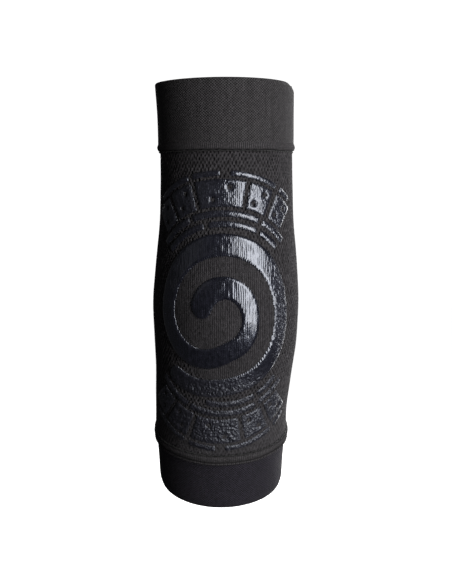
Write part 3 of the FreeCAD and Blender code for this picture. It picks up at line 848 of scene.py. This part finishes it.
def make_grip(end, below_rim, band_height, inner_radius, material):
    """A silicone band inside the cuff, in soft ribs round the arm."""
    part, body, seam, way, radii, height = end
    middle, half = height - below_rim, band_height / 2
    backing = cuff_wall(radii, height, CUFF_THICKNESS - GRIP_SUNK, steps(middle - half, middle + half, 0.001))
    down = steps(middle + half, middle - half, 0.0005)
    ribs = GRIP_RIB * (0.5 + 0.5 * np.cos(2 * math.pi * (down - middle) / GRIP_RIB_SPACING))
    profile = np.concatenate([backing, np.stack([inner_radius + ribs, down], -1)])
    grip = turned_piece(f"{part}_grip", profile, seam, way, 1, material)
    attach(grip, body)
    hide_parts(f"{part}_grip_band")


def make_seam(end, tube_radius, roll_height, places, shape, knit, thread):
    """The roll of fabric where a cuff joins the sleeve, and the linking thread at its free edge."""
    part, body, seam, way = end[:4]
    seam, way = seam - way * SEAM_GAP, -way
    profile, groove = roll_profile(tube_radius, places)
    # groove is the painted shade along the profile
    ridge = turned_piece(f"{part}_seam_roll", profile, seam, way, 4, knit, shape, groove)
    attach(ridge, body)
    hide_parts(f"{part}_seam_ridge")
    thread_along = seam + way * (roll_height + SEAM_GAP + THREAD_RADIUS)
    stitched_thread(part, thread_along, tube_radius + SEAM_GAP / 2, body, thread)


def make_ends():
    """Both cuffs with what is in them, and the seams that join them to the sleeve."""
    upper_knit = cuff_knit("charcoal_cuff_knit", UPPER_CUFF_YARN)
    lower_knit = cuff_knit("blue_black_cuff_knit", LOWER_CUFF_YARN)
    ribbed, braid, grip, thread = ribbed_knit(), woven_elastic(), grip_silicone(), sewing_thread()
    make_cuff(UPPER_END, upper_cuff_shape, upper_knit)
    make_cuff(LOWER_END, lower_cuff_shape, lower_knit)
    make_elastic(UPPER_END, UPPER_ELASTIC_HEIGHT, braid)
    make_elastic(LOWER_END, LOWER_ELASTIC_HEIGHT, braid)
    make_grip(UPPER_END, GRIP_BELOW_RIM, UPPER_GRIP_HEIGHT, UPPER_GRIP_RADIUS, grip)
    make_grip(LOWER_END, LOWER_GRIP_ABOVE_RIM, LOWER_GRIP_HEIGHT, LOWER_GRIP_RADIUS, grip)
    cuff_step = UPPER_CUFF_RADIUS - UPPER_RADIUS
    # places of each roll: height, how proud it stands, and the painted shade there, 1 in a groove or the gap at
    # its edge
    upper_places = (
        (-UPPER_ROLL_LAP, cuff_step - 0.0002, 0.0),
        (0, cuff_step + 0.0003, 0.0),
        (0.0014, UPPER_RIDGE_PROUD + 0.0001, 0.0),
        (0.0028, UPPER_RIDGE_PROUD - 0.0003, 0.0),
        (0.0036, 0.0012, 0.5),
        (0.0040, 0.0002, 1.0),
    )
    lower_places = (
        (0, 0.0001, 1.0),
        (0.0004, 0.0006, 0.5),
        (0.0011, 0.0010, 0.0),
        (0.0017, 0.0002, 1.0),
        (0.0021, 0.0002, 0.9),
        (0.0028, 0.0008, 0.0),
        (0.0040, LOWER_ROLL_PROUD, 0.0),
        (0.0052, LOWER_ROLL_PROUD, 0.0),
        (LOWER_RIDGE_HEIGHT, 0.0001, 0.8),
    )
    upper_height = UPPER_RIDGE_HEIGHT - UPPER_ROLL_LAP
    make_seam(UPPER_END, UPPER_RADIUS, upper_height, upper_places, upper_roll_shape, ribbed, thread)
    make_seam(LOWER_END, FOREARM_RADIUS, LOWER_RIDGE_HEIGHT, lower_places, lower_roll_shape, ribbed, thread)


def make_print():
    """The spiral guard and the rings of segments above and below it."""
    silicone = print_silicone()
    pieces = [("spiral_guard", "spiral_print", spiral_distance, (-SPIRAL_REACH, SPIRAL_REACH, SPIRAL_SIDES))]
    rings = (
        ("inner_arcs", INNER_ARC, INNER_ARC_SPANS, False),
        ("middle_arcs", MIDDLE_ARC, MIDDLE_ARC_SPANS, False),
        ("blocks", BLOCK_RING, BLOCK_SPANS, True),
        ("outer_arcs", OUTER_ARC, OUTER_ARC_SPANS, False),
    )
    for part, side in (("upper", 1), ("lower", -1)):
        for ring, radii, spans, vented in rings:
            if side < 0 and ring == "inner_arcs":
                spans = spans[-LOWER_INNER_ARCS:]
            reach = sorted((side * (radii[0] * RING_ENDS), side * (radii[1] + RING_MARGIN)))
            shape = segments(radii, spans, side, vented)
            pieces.append((f"{part}_{ring}", f"{part}_{ring}_print", shape, (*reach, RING_SIDES)))
    for node, name, shape, reach in pieces:
        piece = printed_piece(name, shape, reach, silicone)
        follow_bend(piece)
        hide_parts(node)


# ---------------------------------------------------------------- floor, light and camera

def softbox(name, azimuth, height, distance, size, radiance):
    """A soft rectangular light. Azimuth is in degrees from the camera's side, towards +X."""
    aim = Vector((0, 0, ELBOW.z))
    turn = math.radians(azimuth)
    light = bpy.data.lights.new(name, "AREA")
    light.shape, light.size, light.size_y = "RECTANGLE", size[0], size[1]
    light.energy = radiance * math.pi * size[0] * size[1]
    box = bpy.data.objects.new(name, light)
    box.location = aim + Vector((distance * math.sin(turn), -distance * math.cos(turn), height))
    box.rotation_mode = "QUATERNION"
    box.rotation_quaternion = (aim - box.location).to_track_quat("-Z", "Y")
    box.visible_camera = False
    bpy.context.scene.collection.objects.link(box)


def white_paper():
    g = Graph("white_paper")
    g.set(Base_Color=(0.9, 0.9, 0.9, 1), Roughness=0.9, Emission_Color=(1, 1, 1, 1), Emission_Strength=1.0)
    return g.material


def make_room(scene):
    """A plain white floor and backdrop, seen by the camera and by nothing else."""
    white = white_paper()
    low = cad_box[0].z - FLOOR_DROP
    mesh = bpy.data.meshes.new("floor")
    corners = [(-ROOM, -ROOM, low), (ROOM, -ROOM, low), (ROOM, ROOM, low), (-ROOM, ROOM, low)]
    mesh.from_pydata(corners, [], [(0, 1, 2, 3)])
    floor = bpy.data.objects.new("floor", mesh)
    scene.collection.objects.link(floor)
    bpy.ops.mesh.primitive_uv_sphere_add(segments=48, ring_count=24, radius=ROOM)
    backdrop = bpy.context.object
    backdrop.name = "backdrop"
    for paper in (floor, backdrop):
        paper.data.materials.append(white)
        paper.visible_diffuse = paper.visible_glossy = paper.visible_shadow = False


def make_stage():
    """The room, soft light mostly from the right, and the photo's camera."""
    scene = bpy.context.scene
    scene.view_settings.view_transform = "Standard"
    world = bpy.data.worlds.new("studio")
    world.use_nodes = True
    world.node_tree.nodes["Background"].inputs[0].default_value = (0.03, 0.03, 0.031, 1)
    scene.world = world
    make_room(scene)
    softbox("key_light", azimuth=40, height=0.08, distance=1.3, size=(0.85, 1.5), radiance=6.8)
    softbox("side_light", azimuth=152, height=0.1, distance=1.3, size=(0.9, 1.5), radiance=4.4)
    softbox("back_light", azimuth=180, height=0.8, distance=1.6, size=(1.4, 1.4), radiance=1.3)
    softbox("fill_light", azimuth=-50, height=0.4, distance=1.8, size=(1.2, 1.2), radiance=0.1)
    camera = bpy.data.objects.new("camera", bpy.data.cameras.new("camera"))
    scene.collection.objects.link(camera)
    camera.data.sensor_width, camera.data.lens = SENSOR, LENS
    aim = ELBOW + Vector((0, 0, CAMERA_AIM))
    towards = Vector((0, -math.cos(CAMERA_ELEVATION), math.sin(CAMERA_ELEVATION)))
    camera.location = aim + CAMERA_DISTANCE * towards
    camera.rotation_mode = "QUATERNION"
    camera.rotation_quaternion = (aim - camera.location).to_track_quat("-Z", "Y")
    scene.camera = camera


make_sleeve()
make_ends()
make_print()
make_stage()
